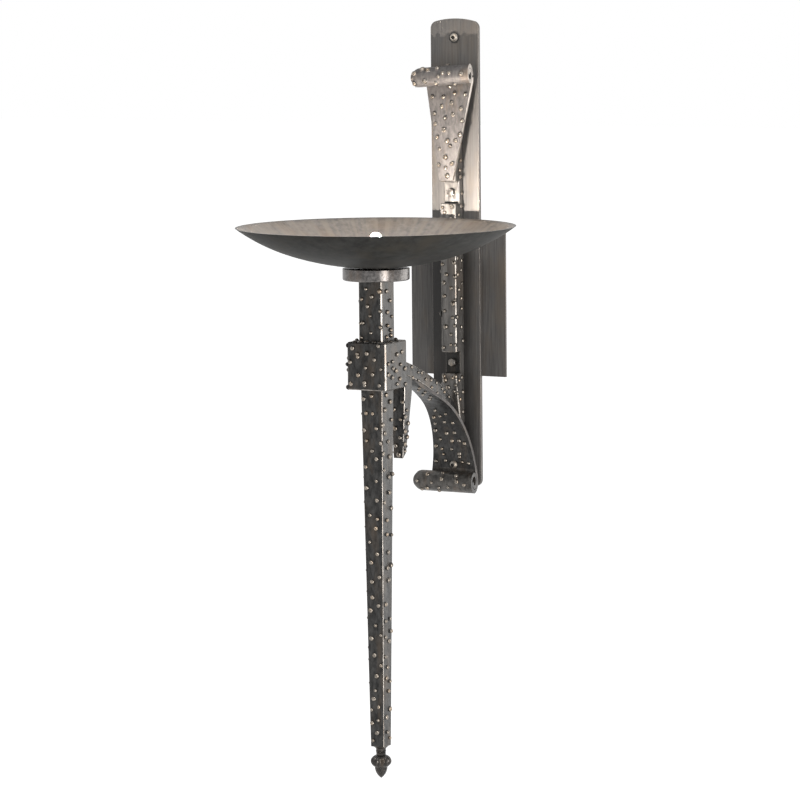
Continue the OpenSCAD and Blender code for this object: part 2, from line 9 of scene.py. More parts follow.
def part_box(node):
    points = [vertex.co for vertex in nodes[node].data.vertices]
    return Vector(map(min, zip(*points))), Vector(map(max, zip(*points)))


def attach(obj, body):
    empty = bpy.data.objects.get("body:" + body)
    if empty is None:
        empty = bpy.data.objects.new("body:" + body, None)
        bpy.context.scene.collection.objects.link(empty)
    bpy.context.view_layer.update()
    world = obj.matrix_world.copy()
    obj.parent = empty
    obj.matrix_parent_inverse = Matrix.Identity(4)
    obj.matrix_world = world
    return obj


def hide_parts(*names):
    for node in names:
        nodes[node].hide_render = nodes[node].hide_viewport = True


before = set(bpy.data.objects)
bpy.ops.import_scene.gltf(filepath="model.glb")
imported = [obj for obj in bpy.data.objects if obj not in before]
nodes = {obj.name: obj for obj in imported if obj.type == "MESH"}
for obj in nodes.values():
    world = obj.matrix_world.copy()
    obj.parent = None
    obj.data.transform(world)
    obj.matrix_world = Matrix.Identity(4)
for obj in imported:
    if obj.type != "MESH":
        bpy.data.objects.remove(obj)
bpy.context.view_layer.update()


# The camera stands where it stood for the photograph: to the right of the sconce, a little
# above its middle and far back, with a long lens.
turn, pitch, roll = 0.4991786, 0.1153958, 0.0096927
aside = Vector((math.cos(turn), math.sin(turn), 0))
ahead = Vector((-math.sin(turn) * math.cos(pitch), math.cos(turn) * math.cos(pitch),
                -math.sin(pitch)))
above = aside.cross(ahead)
across = aside * math.cos(roll) - above * math.sin(roll)
upward = aside * math.sin(roll) + above * math.cos(roll)
lens = bpy.data.cameras.new("long_lens")
lens.lens, lens.sensor_width = 167.41, 36.0
lens.shift_x, lens.shift_y = 0.00025, 0.000625
lens.clip_end = 100
camera = bpy.data.objects.new("camera", lens)
camera.matrix_world = Matrix((across, upward, -ahead)).transposed().to_4x4()
camera.location = (2.065646, -3.940430, 0.396098)
bpy.context.scene.collection.objects.link(camera)
bpy.context.scene.camera = camera
bpy.context.scene.view_settings.view_transform = "Standard"


# The studio: soft air that looks white to the lens and in reflections, soft boxes in front to
# the right, behind to the right and above, and a pale floor well below the hanging sconce.
AIR_LIGHT, FLOOR_HEIGHT, FLOOR_TONE, FLOOR_SEEN = 0.28, -1.2, 0.6, 0.93
SCONCE_MIDDLE = Vector((0, -0.12, -0.05))


def seen_directly(tree):
    """A value of 1 where the camera, a reflection or a look through glass meets it."""
    rays = tree.nodes.new("ShaderNodeLightPath")
    value = rays.outputs["Is Camera Ray"]
    for ray in ("Is Glossy Ray", "Is Transmission Ray"):
        most = tree.nodes.new("ShaderNodeMath")
        most.operation = "MAXIMUM"
        tree.links.new(value, most.inputs[0])
        tree.links.new(rays.outputs[ray], most.inputs[1])
        value = most.outputs[0]
    return value


air = bpy.data.worlds.new("studio_air")
bpy.context.scene.world = air
air.use_nodes = True
tree = air.node_tree
tree.nodes.clear()
soft_air = tree.nodes.new("ShaderNodeBackground")
soft_air.inputs["Color"].default_value = (1, 1, 1, 1)
soft_air.inputs["Strength"].default_value = AIR_LIGHT
white_air = tree.nodes.new("ShaderNodeBackground")
white_air.inputs["Color"].default_value = (1, 1, 1, 1)
either = tree.nodes.new("ShaderNodeMixShader")
sky = tree.nodes.new("ShaderNodeOutputWorld")
tree.links.new(seen_directly(tree), either.inputs[0])
tree.links.new(soft_air.outputs[0], either.inputs[1])
tree.links.new(white_air.outputs[0], either.inputs[2])
tree.links.new(either.outputs[0], sky.inputs[0])


def soft_box(name, place, width, height, watts, tint):
    """A soft box turned to the sconce, and itself out of the picture."""
    box = bpy.data.lights.new(name, "AREA")
    box.shape, box.size, box.size_y = "RECTANGLE", width, height
    box.energy, box.color = watts, tint
    stand = bpy.data.objects.new(name, box)
    stand.location = place
    aim = SCONCE_MIDDLE - Vector(place)
    stand.rotation_euler = aim.to_track_quat("-Z", "Y").to_euler()
    stand.visible_camera = False
    bpy.context.scene.collection.objects.link(stand)


soft_box("box_right", (2.85, -1.88, -0.15), 0.8, 1.9, 58, (1.0, 0.98, 0.96))
soft_box("box_behind", (1.9, 2.6, 0.0), 2.0, 2.2, 31, (1.0, 0.98, 0.95))
soft_box("box_top", (0.5, -2.2, 2.6), 0.8, 0.8, 36, (1.0, 0.99, 0.97))

bpy.ops.object.select_all(action="DESELECT")
bpy.ops.mesh.primitive_plane_add(size=60, location=(0, 0, FLOOR_HEIGHT))
floor = bpy.context.object
floor.name = "floor"
chalk = bpy.data.materials.new("pale_floor")
chalk.use_nodes = True
tree = chalk.node_tree
tree.nodes.clear()
matt = tree.nodes.new("ShaderNodeBsdfDiffuse")
matt.inputs["Color"].default_value = (FLOOR_TONE, FLOOR_TONE, FLOOR_TONE, 1)
pale = tree.nodes.new("ShaderNodeEmission")
pale.inputs["Strength"].default_value = FLOOR_SEEN
both = tree.nodes.new("ShaderNodeAddShader")
pick = tree.nodes.new("ShaderNodeMixShader")
face = tree.nodes.new("ShaderNodeOutputMaterial")
tree.links.new(matt.outputs[0], both.inputs[0])
tree.links.new(pale.outputs[0], both.inputs[1])
tree.links.new(seen_directly(tree), pick.inputs[0])
tree.links.new(matt.outputs[0], pick.inputs[1])
tree.links.new(both.outputs[0], pick.inputs[2])
tree.links.new(pick.outputs[0], face.inputs[0])
floor.data.materials.append(chalk)


# Wall plate: a flat rectangle of rolled steel that lies on the wall. It is sawn and filed, then
# darkened and rubbed along its length, so that fine streaks and brown stains run down it.
def noise(tree, scale, stretch, detail, roughness=0.5):
    """A cloud pattern on the piece's own place, with this many features to the metre."""
    where = tree.nodes.new("ShaderNodeTexCoord")
    along = tree.nodes.new("ShaderNodeMapping")
    along.inputs["Scale"].default_value = stretch
    cloud = tree.nodes.new("ShaderNodeTexNoise")
    cloud.inputs["Scale"].default_value = scale
    cloud.inputs["Detail"].default_value = detail
    cloud.inputs["Roughness"].default_value = roughness
    tree.links.new(where.outputs["Object"], along.inputs[0])
    tree.links.new(along.outputs[0], cloud.inputs["Vector"])
    return cloud.outputs[0]


def between(tree, value, low, high, out_low=0.0, out_high=1.0):
    """A pattern's values from low to high, spread from out_low to out_high."""
    ramp = tree.nodes.new("ShaderNodeMapRange")
    for key, number in (("From Min", low), ("From Max", high),
                        ("To Min", out_low), ("To Max", out_high)):
        ramp.inputs[key].default_value = number
    tree.links.new(value, ramp.inputs[0])
    return ramp.outputs[0]


def mixed(tree, factor, first, second):
    """Two tones, or a tone over what is there, mixed by a pattern."""
    mix = tree.nodes.new("ShaderNodeMix")
    mix.data_type = "RGBA"
    tree.links.new(factor, mix.inputs["Factor"])
    for key, tone in (("A", first), ("B", second)):
        if isinstance(tone, tuple):
            mix.inputs[key].default_value = (*tone, 1)
        else:
            tree.links.new(tone, mix.inputs[key])
    return mix.outputs["Result"]


STREAK_TONES, STAIN_TONES, STAIN_SHARE = (0.34, 0.66), (0.5, 0.72), 0.75
SMOOTHER, ROUGHER = 0.1, 0.12
GRAIN_DEPTH, DENT_DEPTH, DENTS_TO_THE_METRE = 0.0003, 0.0012, 130


def patina(name, dark, light, brown, roughness, metal, streaks, stains, relief,
           stretch=(1, 1, 1), dents=0.0, shine=0.5):
    """Metal with a skin: two tones in fine streaks, brown stains, and an uneven shine. There
    are so many streaks and stains to the metre. A stretch below 1 draws the streaks out."""
    steel = bpy.data.materials.new(name)
    steel.use_nodes = True
    tree = steel.node_tree
    shader = tree.nodes["Principled BSDF"]
    shader.inputs["Metallic"].default_value = metal
    shader.inputs["Specular IOR Level"].default_value = shine
    brushed = noise(tree, streaks, stretch, detail=6, roughness=0.6)
    clouds = noise(tree, stains, (1, 1, 0.3), detail=5, roughness=0.62)
    tone = mixed(tree, between(tree, brushed, *STREAK_TONES), dark, light)
    tone = mixed(tree, between(tree, clouds, *STAIN_TONES, 0, STAIN_SHARE), tone, brown)
    tree.links.new(tone, shader.inputs["Base Color"])
    tree.links.new(between(tree, brushed, 0, 1, roughness - SMOOTHER, roughness + ROUGHER),
                   shader.inputs["Roughness"])
    grain = tree.nodes.new("ShaderNodeBump")
    grain.inputs["Strength"].default_value = relief
    grain.inputs["Distance"].default_value = GRAIN_DEPTH
    tree.links.new(brushed, grain.inputs["Height"])
    if dents:
        hammered = tree.nodes.new("ShaderNodeBump")
        hammered.inputs["Strength"].default_value = dents
        hammered.inputs["Distance"].default_value = DENT_DEPTH
        tree.links.new(noise(tree, DENTS_TO_THE_METRE, (1, 1, 0.7), detail=1),
                       hammered.inputs["Height"])
        tree.links.new(hammered.outputs[0], grain.inputs["Normal"])
    tree.links.new(grain.outputs[0], shader.inputs["Normal"])
    return steel


SAME_PLACE, FLAT_ENOUGH = 0.00001, math.radians(0.3)
CORNER_ANGLE, SMOOTH_ANGLE = math.radians(50), math.radians(24)


def dress(node, skin, corner, corner_skin=None, body="sconce", shaped=None):
    """A welded copy of a CAD solid, its corners broken and, where they are rubbed, bright."""
    piece = nodes[node].copy()
    piece.data = nodes[node].data.copy()
    piece.name = node + "_dressed"
    piece.parent = None
    for key in list(piece.keys()):
        del piece[key]
    bpy.context.scene.collection.objects.link(piece)
    bpy.ops.object.select_all(action="DESELECT")
    piece.select_set(True)
    bpy.context.view_layer.objects.active = piece
    bpy.ops.object.mode_set(mode="EDIT")
    bpy.ops.mesh.select_all(action="SELECT")
    bpy.ops.mesh.remove_doubles(threshold=SAME_PLACE)
    bpy.ops.mesh.dissolve_limited(angle_limit=FLAT_ENOUGH)
    bpy.ops.object.mode_set(mode="OBJECT")
    piece.data.materials.clear()
    piece.data.materials.append(skin)
    if corner_skin:
        piece.data.materials.append(corner_skin)
    if shaped:
        shaped(piece)
    broken = piece.modifiers.new("broken_corners", "BEVEL")
    broken.width = corner
    broken.segments = 3
    broken.limit_method = "ANGLE"
    broken.angle_limit = CORNER_ANGLE
    broken.material = 1 if corner_skin else 0
    bpy.ops.object.modifier_apply(modifier=broken.name)
    bpy.ops.object.shade_smooth_by_angle(angle=SMOOTH_ANGLE)
    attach(piece, body)
    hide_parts(node)
    return piece


def darkened_sheet(name):
    """The plate's and the strip's skin, drawn out along the sheet."""
    return patina(name, (0.095, 0.091, 0.088), (0.165, 0.158, 0.152), (0.17, 0.14, 0.11),
                  roughness=0.52, metal=0.35, streaks=620, stretch=(1, 1, 0.03), stains=26,
                  relief=0.3, shine=0.3)


sheet_steel = darkened_sheet("sheet_steel")
dress("wall_plate", sheet_steel, corner=0.0005)


# Back strip: a long strip of the same sheet with arched ends, bolted to the plate. Its edge is
# filed bright all round. Below the dish its left part and the metal beside the spine are
# darkened with painted shade of the spine.
def overlay(steel, factor, tone):
    """One more tone laid over a metal's colour, as far as the factor goes."""
    tree = steel.node_tree
    colour = tree.nodes["Principled BSDF"].inputs["Base Color"]
    tree.links.new(mixed(tree, factor, colour.links[0].from_socket, tone), colour)


def part_of(tree, axis):
    """How far along an axis a point of the piece lies."""
    place = tree.nodes.new("ShaderNodeTexCoord")
    split = tree.nodes.new("ShaderNodeSeparateXYZ")
    tree.links.new(place.outputs["Object"], split.inputs[0])
    return split.outputs[axis]


# On the strip's corners a filed bright edge; on the upper strap's faces turned to the right a
# painted highlight.
filed_edge_and_highlight = patina("filed_edge_and_highlight", (0.3, 0.275, 0.25), (0.55, 0.5, 0.45), (0.26, 0.2, 0.15),
                    roughness=0.38, metal=0.8, streaks=500, stretch=(1, 1, 0.2), stains=60,
                    relief=0.2)
strip_sheet = darkened_sheet("strip_sheet")
tree = strip_sheet.node_tree
# Painted shade of the spine: below the dish, the strip's left part and the metal beside the spine
# are darkened.
beside_spine = between(tree, part_of(tree, "X"), 0.013, 0.027, 0.72, 0)
below_dish = between(tree, part_of(tree, "Z"), 0.07, 0.095, 1, 0)
painted_spine_shade = tree.nodes.new("ShaderNodeMath")
painted_spine_shade.operation = "MULTIPLY"
tree.links.new(beside_spine, painted_spine_shade.inputs[0])
tree.links.new(below_dish, painted_spine_shade.inputs[1])
overlay(strip_sheet, painted_spine_shade.outputs[0], (0.03, 0.029, 0.029))
dress("back_strip", strip_sheet, corner=0.0012, corner_skin=filed_edge_and_highlight)


# Spine: a square bar with two notches, forged thinner towards its foot and welded to the
# strip. Its skin is black and waxed, and its corners are rubbed bright.
OWN_SKIN, ADDED_SKIN, SECOND_ADDED, THIRD_ADDED = 0, 2, 3, 4  # number 1 is the corners' skin
NOTCHES = ((0.1315, False), (-0.072, True))
NOTCH_HALF, NOTCH_MOUTH, NOTCH_FLOOR, SPINE_HALF = 0.0129, -0.0272, -0.0179, 0.0099
LONG_EDGE = 0.016


def rub_corners(piece, flat=0.0009):
    """The long corners rubbed down to narrow flats, bright in the light from the right."""
    bpy.ops.object.mode_set(mode="EDIT")
    bpy.ops.mesh.select_mode(type="EDGE")
    bpy.ops.mesh.select_all(action="DESELECT")
    bpy.ops.mesh.edges_select_sharp(sharpness=CORNER_ANGLE)
    bpy.ops.object.mode_set(mode="OBJECT")
    for edge in piece.data.edges:
        start, end = (piece.data.vertices[k].co for k in edge.vertices)
        edge.select = edge.select and (start - end).length > LONG_EDGE
    bpy.ops.object.mode_set(mode="EDIT")
    bpy.ops.mesh.bevel(offset=flat, segments=1, material=1, clamp_overlap=False)
    bpy.ops.mesh.select_mode(type="VERT")
    bpy.ops.object.mode_set(mode="OBJECT")


rubbed_corner = patina("rubbed_corner", (0.07, 0.065, 0.06), (0.36, 0.335, 0.305),
                       (0.15, 0.11, 0.08), roughness=0.3, metal=0.95, streaks=220,
                       stretch=(1, 1, 0.35), stains=90, relief=0.3)
spine_steel = patina("spine_steel", (0.085, 0.081, 0.077), (0.23, 0.217, 0.204),
                     (0.22, 0.17, 0.125), roughness=0.4, metal=0.4, streaks=300,
                     stretch=(1, 1, 0.12), stains=40, relief=0.5, dents=0.35)
# Painted shade for hollows: laid nearly black on the notches' walls and floor and in the screws'
# sockets.
painted_recess_shade = patina("painted_recess_shade", (0.008, 0.008, 0.007), (0.028, 0.026, 0.024),
                     (0.05, 0.038, 0.028), roughness=0.5, metal=0.5, streaks=260, stains=150,
                     relief=0.5)
spine = dress("spine_bar", spine_steel, corner=0.0005, corner_skin=rubbed_corner,
              shaped=rub_corners)
spine.data.materials.append(painted_recess_shade)
# The notches' upper and lower walls, and the lower notch's floor too, take the painted shade.
for side in spine.data.polygons:
    across_bar, out, up = side.center
    for notch, floor_too in NOTCHES:
        within = (abs(up - notch) < NOTCH_HALF and NOTCH_MOUTH < out < NOTCH_FLOOR
                  and abs(across_bar) < SPINE_HALF)
        if within and (floor_too or abs(side.normal.z) > 0.5):
            side.material_index = ADDED_SKIN


# Raised points of the spine, and the maker of the other bars' points: blunt drops of weld,
# peened over, black round their roots and rubbed bronze brown and bright on their crowns.
ROOT, CROWN, ROOT_FLARE = -0.2, 0.42, 1.15
SIGHT = {"front": Vector((0, 1, 0)), "back": Vector((0, -1, 0)), "right": Vector((-1, 0, 0)),
         "left": Vector((1, 0, 0)), "top": Vector((0, 0, -1)), "foot": Vector((0, 0, 1))}
FAR_OFF, TURNED_AWAY = 1.2, -0.3


def forged(name):
    """The skin of the torch, the arm and their points: black, hammered and waxed."""
    return patina(name, (0.018, 0.0178, 0.0176), (0.068, 0.0665, 0.0645), (0.09, 0.07, 0.053),
                  roughness=0.36, metal=0.75, streaks=240, stretch=(1, 1, 0.45), stains=70,
                  relief=0.6, dents=0.6)


forged_steel = forged("forged_steel")
rubbed_point = patina("rubbed_point", (0.1, 0.09, 0.078), (0.38, 0.335, 0.285),
                      (0.36, 0.26, 0.17), roughness=0.24, metal=0.85, streaks=500, stains=160,
                      relief=0.15)
bpy.ops.object.select_all(action="DESELECT")
bpy.ops.mesh.primitive_uv_sphere_add(segments=10, ring_count=8, radius=1)
point = bpy.context.object
point.name = "point"
bpy.ops.object.mode_set(mode="EDIT")
bpy.ops.mesh.bisect(plane_co=(0, 0, ROOT), plane_no=(0, 0, 1), clear_inner=True)
bpy.ops.mesh.edge_face_add()
bpy.ops.transform.resize(value=(ROOT_FLARE, ROOT_FLARE, 1))
bpy.ops.object.mode_set(mode="OBJECT")
bpy.ops.object.shade_smooth_by_angle(angle=math.radians(60))
point.data.materials.append(forged_steel)
point.data.materials.append(rubbed_point)
for side in point.data.polygons:
    side.material_index = 1 if side.center.z > CROWN else 0


def raise_points(node, seed, faces, radius=0.0028, height=0.0027, root=None):
    """Raised points on one bar. Each face lists them in mm as it is looked at: (x, z) on the
    front and back, (y, z) on the sides, (x, y) on the top and foot. A third number is the share
    of the full size that a point has. Root is a skin for the foot of each point."""
    mesh = nodes[node].data
    skin = BVHTree.FromPolygons([v.co for v in mesh.vertices],
                                [p.vertices for p in mesh.polygons])
    dice = random.Random(seed)
    copies = []
    for face, places in faces.items():
        sight = SIGHT[face]
        for first, second, *share in places:
            place = [first / 1000, second / 1000]
            place.insert([abs(part) > 0.5 for part in sight].index(True), 0.0)
            hit, normal, _, _ = skin.ray_cast(Vector(place) - sight * FAR_OFF, sight)
            share = share[0] if share else 1
            size = radius * dice.uniform(0.8, 1.15) * share
            tall = height * dice.uniform(0.75, 1.15) * share
            oval, spin = dice.uniform(0.9, 1.15), dice.uniform(0, 6)
            if hit is None or normal.dot(sight) > TURNED_AWAY:
                continue
            copy = point.copy()
            copy.data = point.data.copy()
            upright = normal.to_track_quat("Z", "Y").to_matrix().to_4x4()
            shape = Matrix.Diagonal((size * oval, size, tall, 1))
            copy.data.transform(Matrix.Translation(hit) @ upright
                                @ Matrix.Rotation(spin, 4, "Z") @ shape)
            bpy.context.scene.collection.objects.link(copy)
            copies.append(copy)
    bpy.ops.object.select_all(action="DESELECT")
    for copy in copies:
        copy.select_set(True)
    bpy.context.view_layer.objects.active = copies[0]
    bpy.ops.object.join()
    copies[0].name = node + "_points"
    if root:
        copies[0].data.materials[0] = root
    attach(copies[0], "sconce")


def strewn(seed, middle, half, low, high, step):
    """Places in mm up a face from low to high, one to each step, in turn to one side of its
    middle and to the other and no further off than half."""
    dice = random.Random(seed)
    return [(middle + (-1) ** i * half * dice.uniform(0.2, 1),
             low + step * (i + dice.uniform(0.2, 0.8)))
            for i in range(int((high - low) / step))]


def mirrored(places, seed):
    """The points of the face across the bar, each a little off its partner's place."""
    dice = random.Random(seed)
    return [(a + dice.uniform(-2, 2), b + dice.uniform(-5, 5)) for a, b in places]


spine_side = [
    (-23.7, 53.5), (-13.2, 50.2), (-14.5, 38.9), (-23.3, 34), (-13.3, 22.7), (-22, 15.7),
    (-15.6, 5), (-15, -7.4), (-25.6, -16.6), (-15.7, -29.5), (-12.2, -46.2), (-15.1, -90),
    (-20.7, 105), (-14.2, 114.9), (-15, 169.4), (-17, 158), (-15.4, 150), (-13, 130), (-22, 94),
    (-15, 84), (-23, 74), (-14, 66), (-22.5, -93.1), (-13.5, -107.8), (-19.5, -116),
    (-12.9, -131.9), (-23, 182), (-14, 190)]
raise_points("spine_bar", 11, {
    "front": [(-2.7, 33.9), (3.9, 18), (-5.4, 8.1), (-5.4, -9.8), (-4, -28.8), (3, -37.9),
              (2.6, -50.1), (-7.1, -53.8), (-6.7, -88), (-5.6, -93), (4.1, -90), (7.6, 48.7),
              (8.9, 31.9), (5.8, -0.7), (5.6, -17.5), (8.2, -27.1), (8.6, -50), (-2.6, -101.7),
              (5.8, -106.1), (9, 3.7), (8.4, -88), (9, -108.5), (8.4, -98.4), (-6, 24),
              (-7.5, 46), (-3, 60), (5, 66), (-5, 76), (4, 84), (-6, 93), (5, 101), (-4, 108),
              (-7, 114), (6, 115)],
    "right": spine_side,
    "left": mirrored(spine_side, 12)})


# Bolts in the notches: two hexagon bolts of satin steel, driven in from the front, that hold
# the spine and the strip to the plate.
screw_steel = patina("screw_steel", (0.1, 0.092, 0.085), (0.3, 0.275, 0.25), (0.24, 0.18, 0.12),
                     roughness=0.32, metal=0.8, streaks=500, stains=150, relief=0.2)
dress("spine_bolts", screw_steel, corner=0.0004)


# Upper strap: a bar forged flat and flaring upwards, its end rolled into a scroll. It leans
# from the spine back to the strip. Its faces turned to the right, the right edge and the
# scroll's right end, are painted bright as a highlight.
SLICES = (0.0095, 0.0068, 0.0048, 0.0032)
DRAWN_IN = ((0.0067, 0.0069, 0.985), (0.0047, 0.0049, 0.945), (0.0031, 0.0033, 0.88),
            (-0.001, 0.003, 0.7))
SIDEWAYS = 0.7


def rounded_roll_end(piece):
    """The scroll's left end, hammered over to a dome: cut into slices, which are drawn in by
    these shares. Both are measured from the end."""
    end = min(v.co.x for v in piece.data.vertices)
    bpy.ops.object.mode_set(mode="EDIT")
    bpy.ops.mesh.select_mode(type="VERT")
    for depth in SLICES:
        bpy.ops.mesh.select_all(action="SELECT")
        bpy.ops.mesh.bisect(plane_co=(end + depth, 0, 0), plane_no=(1, 0, 0))
    for low, high, drawn_in in DRAWN_IN:
        bpy.ops.mesh.select_all(action="DESELECT")
        bpy.ops.object.mode_set(mode="OBJECT")
        ring = [v for v in piece.data.vertices if end + low < v.co.x < end + high]
        middle = [(min(v.co[k] for v in ring) + max(v.co[k] for v in ring)) / 2
                  for k in range(3)]
        for corner in ring:
            corner.select = True
        bpy.ops.object.mode_set(mode="EDIT")
        bpy.ops.transform.resize(value=(1, drawn_in, drawn_in), center_override=middle)
    bpy.ops.object.mode_set(mode="OBJECT")


strap_steel = patina("strap_steel", (0.085, 0.08, 0.079), (0.17, 0.16, 0.155),
                     (0.17, 0.13, 0.095), roughness=0.55, metal=0.4, streaks=300,
                     stretch=(1, 1, 0.4), stains=60, relief=0.4, dents=0.3, shine=0.2)
upper = dress("upper_scroll", strap_steel, corner=0.0009, corner_skin=rubbed_corner,
              shaped=rounded_roll_end)
upper.data.materials.append(filed_edge_and_highlight)
# Faces turned to the right take the painted highlight.
for side in upper.data.polygons:
    if side.material_index == OWN_SKIN and side.normal.x > SIDEWAYS:
        side.material_index = ADDED_SKIN
raise_points("upper_scroll", 21, {
    "front": [(8.7, 249.3), (-21.1, 244.8), (-6.4, 244.8), (4.7, 237.8), (-8.2, 233.8),
              (17.7, 231.2), (7.3, 224.3), (-3, 220.1), (19.8, 217.3), (-16.2, 212.8),
              (-4.2, 206.1), (17.3, 200.7), (-13.1, 197.1), (0.5, 193), (11.8, 193.8),
              (-9.7, 183.4), (-9.9, 164.5), (-0.7, 161.3), (22.9, 248.7), (-17.6, 225.3),
              (5, 186.9), (-1.2, 173.8), (8, 166.3), (2, 152.1), (-36.4, 273.3), (-21.4, 263.8),
              (-2.9, 269.7), (11.2, 274.2), (27.6, 273.2), (16.3, 261.6), (-27.3, 277.9),
              (-18.6, 276.9), (1.6, 258), (-35.5, 261), (-7, 262)],
    "back": strewn(22, 0, 8, 185, 262, 9),
    "top": strewn(23, -2, 5, -50, -20, 9)}, radius=0.0031, root=strap_steel)


# Lower strap: the same forging with its roll at the foot, black like the arm, the roll a lighter
# grey. It curves out from the strip and up under the arm, where its tip runs out thin. Its front
# there is painted darker towards the arm as shade, and its faces turned to the right are painted
# lighter as a highlight.
TIP_Y, TIP_Z, NEAR_TIP = -0.1147, -0.0872, 0.0008
DRAWN_OUT = (0, -0.0206, 0.0077)
ROLL_TOP = -0.2


def rounded_and_thinned(piece):
    """The roll's end domed, and the strap's tip forged off to a thin edge under the arm."""
    rounded_roll_end(piece)
    bpy.ops.object.mode_set(mode="EDIT")
    bpy.ops.mesh.select_all(action="DESELECT")
    bpy.ops.object.mode_set(mode="OBJECT")
    for corner in piece.data.vertices:
        corner.select = (abs(corner.co.y - TIP_Y) < NEAR_TIP
                         and abs(corner.co.z - TIP_Z) < NEAR_TIP)
    bpy.ops.object.mode_set(mode="EDIT")
    bpy.ops.transform.translate(value=DRAWN_OUT)
    bpy.ops.object.mode_set(mode="OBJECT")


roll_steel = patina("roll_steel", (0.035, 0.033, 0.031), (0.13, 0.122, 0.114), (0.15, 0.11, 0.08),
                    roughness=0.38, metal=0.6, streaks=240, stretch=(1, 1, 0.45), stains=70,
                    relief=0.6, dents=0.45)
# Painted shade under the arm: the strap's front darkens towards the arm.
painted_arm_shade_steel = forged("painted_arm_shade_steel")
tree = painted_arm_shade_steel.node_tree
overlay(painted_arm_shade_steel, between(tree, part_of(tree, "Z"), -0.175, -0.11, 0, 0.85),
        (0.009, 0.0087, 0.0083))
lower = dress("lower_scroll", forged_steel, corner=0.0009,
              corner_skin=rubbed_corner, shaped=rounded_and_thinned)
for skin in (roll_steel, painted_arm_shade_steel, strap_steel):
    lower.data.materials.append(skin)
# Front, back, top and foot faces take the roll's skin below the roll's top and the painted arm
# shade above it.
for side in lower.data.polygons:
    if side.material_index == OWN_SKIN and abs(side.normal.x) < SIDEWAYS:
        side.material_index = ADDED_SKIN if side.center.z < ROLL_TOP else SECOND_ADDED
    # Faces turned to the right above the roll take the lighter strap skin as a painted highlight.
    elif side.material_index == OWN_SKIN and side.normal.x > SIDEWAYS and side.center.z > ROLL_TOP:
        side.material_index = THIRD_ADDED
raise_points("lower_scroll", 31, {
    "front": [(5.2, -131), (-4.1, -134.6), (-6.4, -126.7), (-13.4, -136.6), (-1.5, -142.1),
              (9.6, -142.5), (-15, -144.8), (-17.5, -153.8), (7.9, -155.2), (-3.1, -156.8),
              (1.6, -166.4), (-14, -165), (11.2, -165.7), (18.2, -168.6), (-21.2, -173.9),
              (-13.7, -176.9), (-0.6, -176.8), (9, -182.3), (9, -186), (-12.5, -183.5),
              (-23.4, -192.8), (-10.3, -191.4), (20.3, -193.2), (12, -192), (-24.7, -206.4),
              (-5.5, -204.1), (-37.7, -214.5), (-18.3, -215.6), (-4.6, -210.8), (15.8, -212.8),
              (13.8, -206.4), (25.6, -216.2), (-25.9, -222.9), (-9.5, -221.7), (3.6, -220.6),
              (-34, -225), (-10.9, -225.5)],
    "foot": strewn(33, 2, 5, -150, -70, 8)}, radius=0.0026, height=0.0021)


# Strap spacer: a short sleeve of bright steel round the foot screw, which holds the lower strap
# off the strip.
bright_steel = patina("bright_steel", (0.3, 0.28, 0.25), (0.6, 0.56, 0.5), (0.34, 0.26, 0.18),
                      roughness=0.34, metal=0.5, streaks=500, stains=150, relief=0.15)
dress("strap_spacer", bright_steel, corner=0.0003)


# Arm: a hollow square bar, bent to a curve on the strap's back and welded to the spine's foot.
# It carries the collar and leads the wires to it.
dress("arm_bar", forged_steel, corner=0.0009, corner_skin=rubbed_corner)
arm_side = [(-155.5, -65.8), (-138.6, -65.6), (-165.9, -59.9), (-161.1, -70.3), (-136, -78.6),
            (-123.1, -73.5), (-113.9, -74.8), (-123, -83), (-104.5, -83.5), (-90.8, -85.8),
            (-77.2, -90.5), (-89.5, -94.5), (-75.1, -102.7), (-63.5, -98.8), (-57.7, -103.5),
            (-47.1, -110.4)]
raise_points("arm_bar", 41, {"right": arm_side, "left": mirrored(arm_side, 42),
                             "top": strewn(43, 0, 6, -174, -48, 9)}, radius=0.0022, height=0.0017)


# Drop bar: a short tapered bar that hangs from the arm behind the torch, chiselled off at a
# slant. Its foot is worn to a reddish brown.
dress("drop_bar", forged_steel, corner=0.0005, corner_skin=rubbed_corner,
      shaped=lambda drop: rub_corners(drop, flat=0.0006))
drop_side = [(-155.3, -122.7), (-154.9, -139.5), (-154.8, -154.6), (-152, -115), (-147, -131),
             (-148.5, -147), (-153.5, -163)]
raise_points("drop_bar", 51, {
    "front": [(3.7, -125.6), (3, -147.1), (0.8, -167.1), (-3.6, -136.5), (-5.1, -114),
              (6.5, -104.9), (-2.5, -157)],
    "back": strewn(52, 0, 5, -160, -100, 8),
    "right": drop_side,
    "left": mirrored(drop_side, 53)})


# Collar: a square sleeve of black forged steel on the arm's end, which grips the torch. It is
# closed above and below by plates welded in.
dress("collar_sleeve", forged_steel, corner=0.0006, corner_skin=rubbed_corner,
      shaped=lambda sleeve: rub_corners(sleeve, flat=0.0013))
dress("collar_covers", forged_steel, corner=0.0006)
collar_side = [(-204, -43.9), (-215.6, -51.2), (-225.2, -53), (-196, -56.3), (-207.9, -62.4),
               (-214.5, -59), (-226.2, -65.2), (-216.6, -69.4), (-185.6, -62.1), (-197.9, -72.9),
               (-204.9, -78.1), (-184.8, -80.2), (-192.8, -42)]
raise_points("collar_sleeve", 61, {
    "front": [(16.2, -32), (-11.5, -42.3), (-10.9, -45.9), (1, -41.4), (10.6, -48.1), (-0.6, -58),
              (8.6, -65.3), (-10.8, -66.8), (19.4, -59), (-2.3, -75.3), (-2.3, -78.2),
              (-20.5, -77.2), (16.9, -77.7), (-21, -52), (-18, -36)],
    "back": strewn(62, -17, 4, -80, -34, 8) + strewn(63, 17, 4, -80, -34, 8),
    "right": collar_side,
    "left": mirrored(collar_side, 64) + [(-229, -33), (-229.3, -81.5), (-229.2, -55)],
    "top": [(-8.9, -229.5), (9, -229.3), (0, -230), (23, -215), (22.8, -200), (-23, -212),
            (-22.9, -196), (-16, -229.6), (17, -229.4), (-5, -182.6), (12, -182.7)]})


